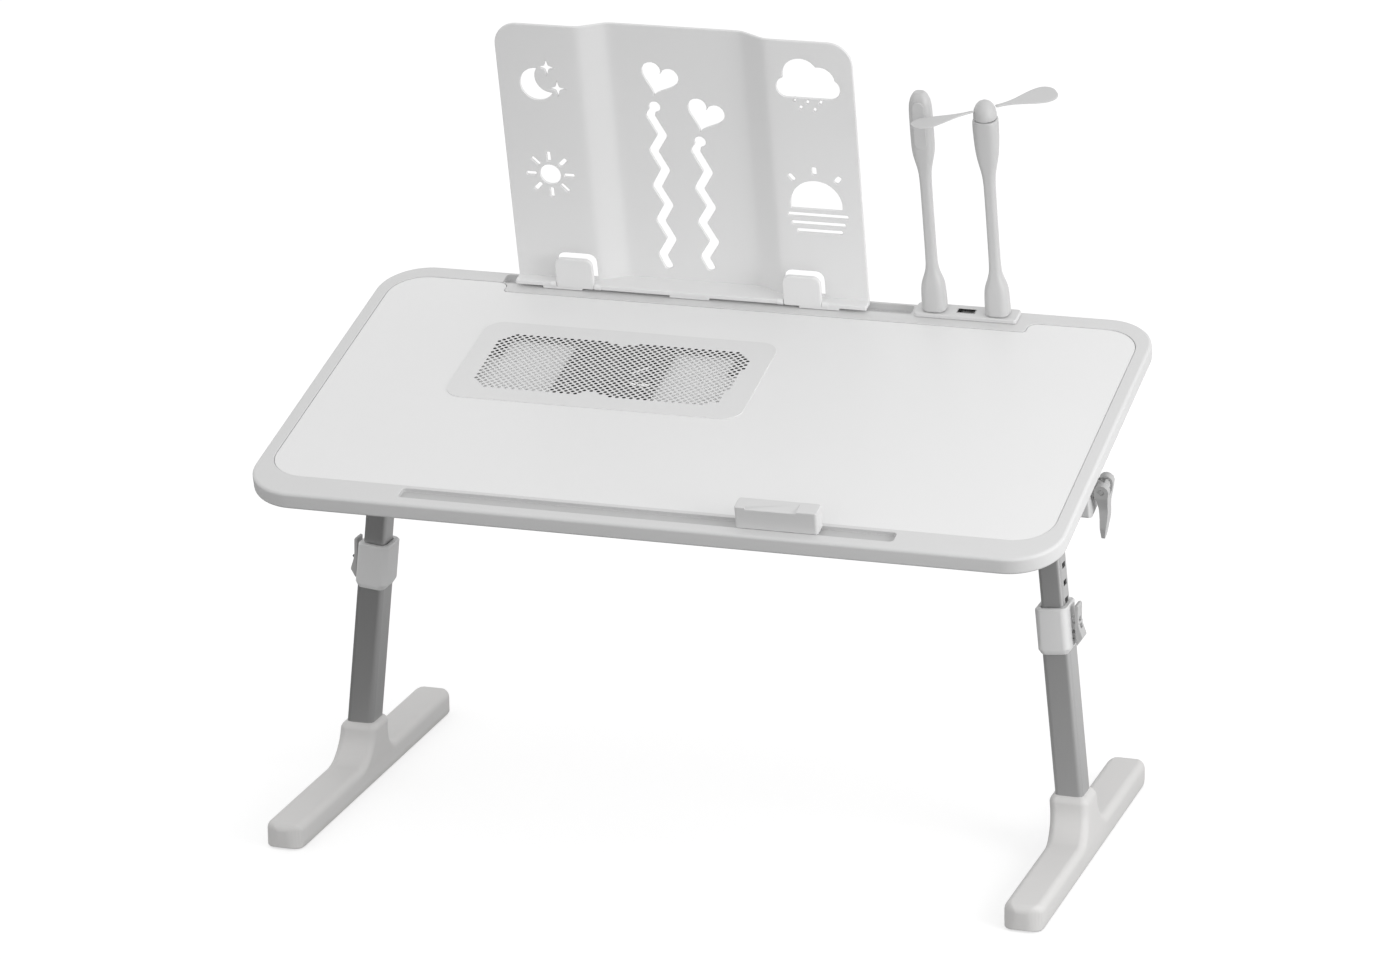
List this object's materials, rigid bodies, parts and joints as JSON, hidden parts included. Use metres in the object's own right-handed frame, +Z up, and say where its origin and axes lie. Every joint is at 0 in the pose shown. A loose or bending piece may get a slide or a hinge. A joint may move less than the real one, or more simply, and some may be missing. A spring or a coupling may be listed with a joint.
{
  "type": "laptop table",
  "caption": "Folding laptop table with a tilting top, telescopic fold-in legs, cooling fan, book stand with page clips, laptop stopper, and a lamp and a fan on sticks in a socket strip.",
  "frame": {"origin": "centre of the base of the bounding box, on the floor between the feet", "axes": "+X to the user's right along the front edge, +Y from the user towards the book stand, +Z up"},
  "size_m": [0.6, 0.3304, 0.5725],
  "materials": {
    "frame_plastic": "pale grey moulded plastic, fine matt grain",
    "panel_board": "satin pale grey board",
    "stand_plastic": "satin pale grey sheet",
    "joint_plastic": "pale grey moulded plastic",
    "foot_plastic": "pale warm grey moulded plastic",
    "lever_plastic": "mid grey moulded plastic",
    "stick_plastic": "satin pale grey",
    "soft_blade": "soft matt pale grey",
    "black_plastic": "black moulded plastic",
    "lens_plastic": "milky diffuser",
    "pad_rubber": "grey rubber",
    "tube_metal": "satin grey coated tube",
    "steel": "plain bright steel"
  },
  "bodies": {
    "top": {"tabletop_frame": "frame_plastic", "desk_panel": "panel_board", "vent_cover": "frame_plastic", "cooler_tray": "frame_plastic", "cooler_housing": "black_plastic", "cooler_guard": "black_plastic", "usb_hub_base": "frame_plastic", "usb_port_left": "steel", "usb_port_middle": "steel", "usb_port_right": "steel", "leg_bracket_left": "joint_plastic", "fold_pin_left": "steel", "leg_bracket_right": "joint_plastic", "fold_pin_right": "steel"},
    "cooler_fan": {"cooler_rotor": "black_plastic"},
    "stand": {"book_stand": "stand_plastic"},
    "clip_left": {"page_clip_left": "stand_plastic"},
    "clip_right": {"page_clip_right": "stand_plastic"},
    "stopper": {"laptop_stopper": "frame_plastic"},
    "lamp": {"lamp_plug": "steel", "lamp_stick": "stick_plastic", "lamp_lens": "lens_plastic"},
    "stick_fan": {"fan_plug": "steel", "fan_stick": "stick_plastic"},
    "stick_fan_blades": {"fan_hub": "stick_plastic", "fan_blade_back": "soft_blade", "fan_blade_front": "soft_blade"},
    "knuckle_left": {"fold_knuckle_left": "joint_plastic", "tilt_bolt_left": "steel", "tilt_washer_left": "lever_plastic", "cross_pin_left": "steel"},
    "clamp_lever_left": {"tilt_lever_left": "lever_plastic"},
    "upper_leg_left": {"leg_head_left": "joint_plastic", "inner_tube_left": "tube_metal"},
    "lower_leg_left": {"outer_tube_left": "tube_metal", "collar_left": "joint_plastic", "lock_pin_left": "steel", "foot_left": "foot_plastic", "foot_pad_front_left": "pad_rubber", "foot_pad_back_left": "pad_rubber"},
    "height_lock_left": {"lock_lever_left": "lever_plastic"},
    "knuckle_right": {"fold_knuckle_right": "joint_plastic", "tilt_bolt_right": "steel", "tilt_washer_right": "lever_plastic", "cross_pin_right": "steel"},
    "clamp_lever_right": {"tilt_lever_right": "lever_plastic"},
    "upper_leg_right": {"leg_head_right": "joint_plastic", "inner_tube_right": "tube_metal"},
    "lower_leg_right": {"outer_tube_right": "tube_metal", "collar_right": "joint_plastic", "lock_pin_right": "steel", "foot_right": "foot_plastic", "foot_pad_front_right": "pad_rubber", "foot_pad_back_right": "pad_rubber"},
    "height_lock_right": {"lock_lever_right": "lever_plastic"}
  },
  "joints": [
    {"name": "fold_left", "type": "hinge", "parent": "top", "child": "knuckle_left", "pos_m": [-0.24, 0.00075, 0.29797], "axis": [0, -0.9655, -0.2605], "range_deg": [0, 94]},
    {"name": "fold_right", "type": "hinge", "parent": "top", "child": "knuckle_right", "pos_m": [0.24, 0.00075, 0.29797], "axis": [0, 0.9655, 0.2605], "range_deg": [0, 94]},
    {"name": "tilt_left", "type": "hinge", "parent": "knuckle_left", "child": "upper_leg_left", "pos_m": [-0.2504, 0.00518, 0.28156], "axis": [1, 0, 0], "range_deg": [-20.9, 15.1]},
    {"name": "tilt_right", "type": "hinge", "parent": "knuckle_right", "child": "upper_leg_right", "pos_m": [0.2504, 0.00518, 0.28156], "axis": [1, 0, 0], "range_deg": [-20.9, 15.1]},
    {"name": "height_left", "type": "slide", "parent": "upper_leg_left", "child": "lower_leg_left", "axis": [0.1011, 0, 0.9949], "range_m": [0, 0.065]},
    {"name": "height_right", "type": "slide", "parent": "upper_leg_right", "child": "lower_leg_right", "axis": [-0.1011, 0, 0.9949], "range_m": [0, 0.065]},
    {"name": "tilt_lever_left_turn", "type": "hinge", "parent": "knuckle_left", "child": "clamp_lever_left", "pos_m": [-0.2939, 0.00518, 0.28156], "axis": [0, 0.9655, 0.2605], "range_deg": [0, 90]},
    {"name": "tilt_lever_right_turn", "type": "hinge", "parent": "knuckle_right", "child": "clamp_lever_right", "pos_m": [0.2939, 0.00518, 0.28156], "axis": [0, -0.9655, -0.2605], "range_deg": [0, 90]},
    {"name": "height_lock_left_press", "type": "hinge", "parent": "lower_leg_left", "child": "height_lock_left", "pos_m": [-0.27763, 0.00518, 0.17778], "axis": [0, 1, 0], "range_deg": [0, 8], "stiffness_Nm_per_rad": 0.1, "springref_deg": -5.73},
    {"name": "height_lock_right_press", "type": "hinge", "parent": "lower_leg_right", "child": "height_lock_right", "pos_m": [0.27763, 0.00518, 0.17778], "axis": [0, -1, 0], "range_deg": [0, 8], "stiffness_Nm_per_rad": 0.1, "springref_deg": -5.73},
    {"name": "cooler_spin", "type": "hinge", "parent": "top", "child": "cooler_fan", "pos_m": [-0.083, 0.03201, 0.32298], "axis": [0, -0.2605, 0.9655], "continuous": true},
    {"name": "stick_fan_spin", "type": "hinge", "parent": "stick_fan", "child": "stick_fan_blades", "pos_m": [0.1795, 0.0979, 0.52409], "axis": [0, -0.2605, 0.9655], "continuous": true, "deforming": ["fan_blade_back", "fan_blade_front"]},
    {"name": "lamp_pull", "type": "slide", "parent": "top", "child": "lamp", "axis": [0, -0.2605, 0.9655], "range_m": [0, 0.012]},
    {"name": "stick_fan_pull", "type": "slide", "parent": "top", "child": "stick_fan", "axis": [0, -0.2605, 0.9655], "range_m": [0, 0.012]},
    {"name": "stand_lift", "type": "slide", "parent": "top", "child": "stand", "axis": [0, -0.2385, 0.9711], "range_m": [0, 0.012]},
    {"name": "page_clip_left_turn", "type": "hinge", "parent": "stand", "child": "clip_left", "pos_m": [-0.1438, 0.13401, 0.36181], "axis": [1, 0, 0], "range_deg": [0, 90]},
    {"name": "page_clip_right_turn", "type": "hinge", "parent": "stand", "child": "clip_right", "pos_m": [0.0362, 0.13401, 0.36181], "axis": [1, 0, 0], "range_deg": [0, 90]},
    {"name": "stopper_slide", "type": "slide", "parent": "top", "child": "stopper", "axis": [1, 0, 0], "range_m": [-0.25, 0.053]}
  ],
  "couplings": [
    {"joint": "tilt_left", "follows": "tilt_right", "ratio": 1}
  ]
}
